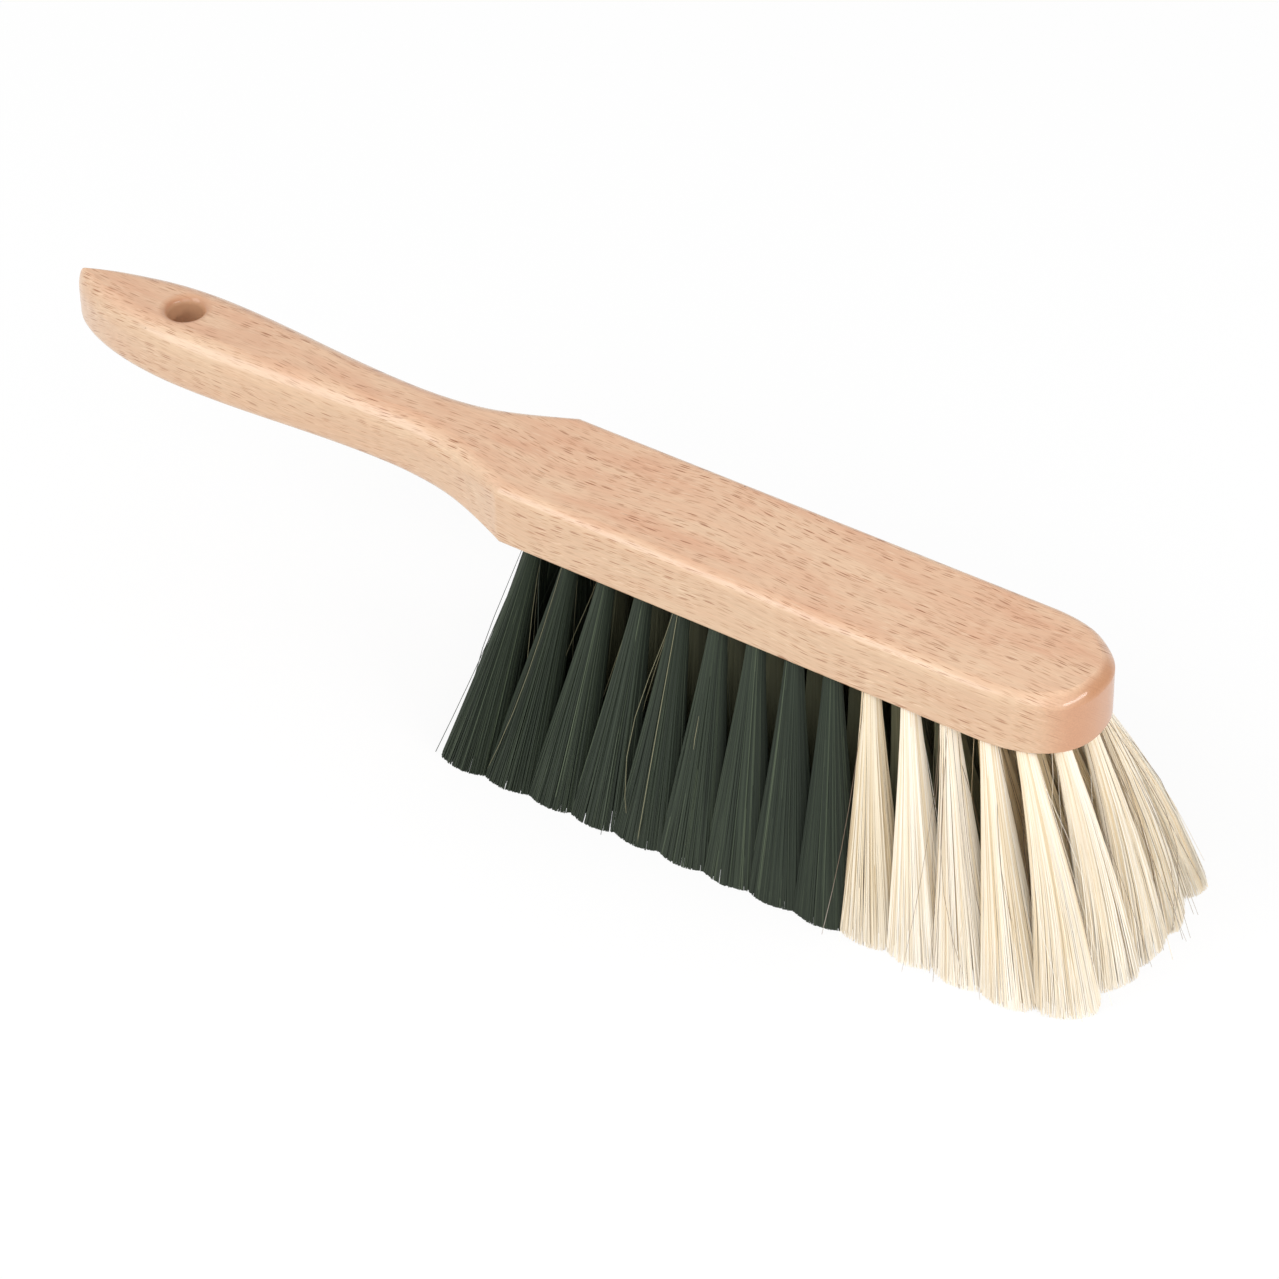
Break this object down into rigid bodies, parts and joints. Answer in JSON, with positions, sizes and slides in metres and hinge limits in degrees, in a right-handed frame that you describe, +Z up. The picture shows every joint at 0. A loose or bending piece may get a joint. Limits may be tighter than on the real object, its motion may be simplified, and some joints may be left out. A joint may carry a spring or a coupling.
{
  "type": "hand broom",
  "caption": "Hand broom with a one-piece wooden head and handle, a hanging hole, and dark and blond hair tufts set in drilled holes.",
  "frame": {"origin": "under the middle of the whole object, on the plane of the trimmed hair tips", "axes": "+X along the stock towards the rounded nose of the head, +Z up out of the flat top of the stock"},
  "size_m": [0.3212, 0.0742, 0.0765],
  "materials": {
    "beech": "clear lacquer",
    "dark_horsehair": "natural sheen",
    "blond_horsehair": "natural sheen"
  },
  "bodies": {
    "root": {"beech_stock": "beech", "left_edge_blond_tuft_10": "blond_horsehair", "left_edge_blond_tuft_11": "blond_horsehair", "left_edge_blond_tuft_12": "blond_horsehair", "left_edge_blond_tuft_13": "blond_horsehair", "left_edge_dark_tuft_01": "dark_horsehair", "left_edge_dark_tuft_02": "dark_horsehair", "left_edge_dark_tuft_03": "dark_horsehair", "left_edge_dark_tuft_04": "dark_horsehair", "left_edge_dark_tuft_05": "dark_horsehair", "left_edge_dark_tuft_06": "dark_horsehair", "left_edge_dark_tuft_07": "dark_horsehair", "left_edge_dark_tuft_08": "dark_horsehair", "left_edge_dark_tuft_09": "dark_horsehair", "left_inner_blond_tuft_12": "blond_horsehair", "left_inner_blond_tuft_13": "blond_horsehair", "left_inner_dark_tuft_01": "dark_horsehair", "left_inner_dark_tuft_02": "dark_horsehair", "left_inner_dark_tuft_03": "dark_horsehair", "left_inner_dark_tuft_04": "dark_horsehair", "left_inner_dark_tuft_05": "dark_horsehair", "left_inner_dark_tuft_06": "dark_horsehair", "left_inner_dark_tuft_07": "dark_horsehair", "left_inner_dark_tuft_08": "dark_horsehair", "left_inner_dark_tuft_09": "dark_horsehair", "left_inner_dark_tuft_10": "dark_horsehair", "left_inner_dark_tuft_11": "dark_horsehair", "nose_blond_tuft_01": "blond_horsehair", "nose_blond_tuft_02": "blond_horsehair", "nose_blond_tuft_03": "blond_horsehair", "nose_blond_tuft_04": "blond_horsehair", "nose_blond_tuft_05": "blond_horsehair", "right_edge_blond_tuft_10": "blond_horsehair", "right_edge_blond_tuft_11": "blond_horsehair", "right_edge_blond_tuft_12": "blond_horsehair", "right_edge_blond_tuft_13": "blond_horsehair", "right_edge_dark_tuft_01": "dark_horsehair", "right_edge_dark_tuft_02": "dark_horsehair", "right_edge_dark_tuft_03": "dark_horsehair", "right_edge_dark_tuft_04": "dark_horsehair", "right_edge_dark_tuft_05": "dark_horsehair", "right_edge_dark_tuft_06": "dark_horsehair", "right_edge_dark_tuft_07": "dark_horsehair", "right_edge_dark_tuft_08": "dark_horsehair", "right_edge_dark_tuft_09": "dark_horsehair", "right_inner_blond_tuft_12": "blond_horsehair", "right_inner_blond_tuft_13": "blond_horsehair", "right_inner_dark_tuft_01": "dark_horsehair", "right_inner_dark_tuft_02": "dark_horsehair", "right_inner_dark_tuft_03": "dark_horsehair", "right_inner_dark_tuft_04": "dark_horsehair", "right_inner_dark_tuft_05": "dark_horsehair", "right_inner_dark_tuft_06": "dark_horsehair", "right_inner_dark_tuft_07": "dark_horsehair", "right_inner_dark_tuft_08": "dark_horsehair", "right_inner_dark_tuft_09": "dark_horsehair", "right_inner_dark_tuft_10": "dark_horsehair", "right_inner_dark_tuft_11": "dark_horsehair"}
  },
  "joints": []
}
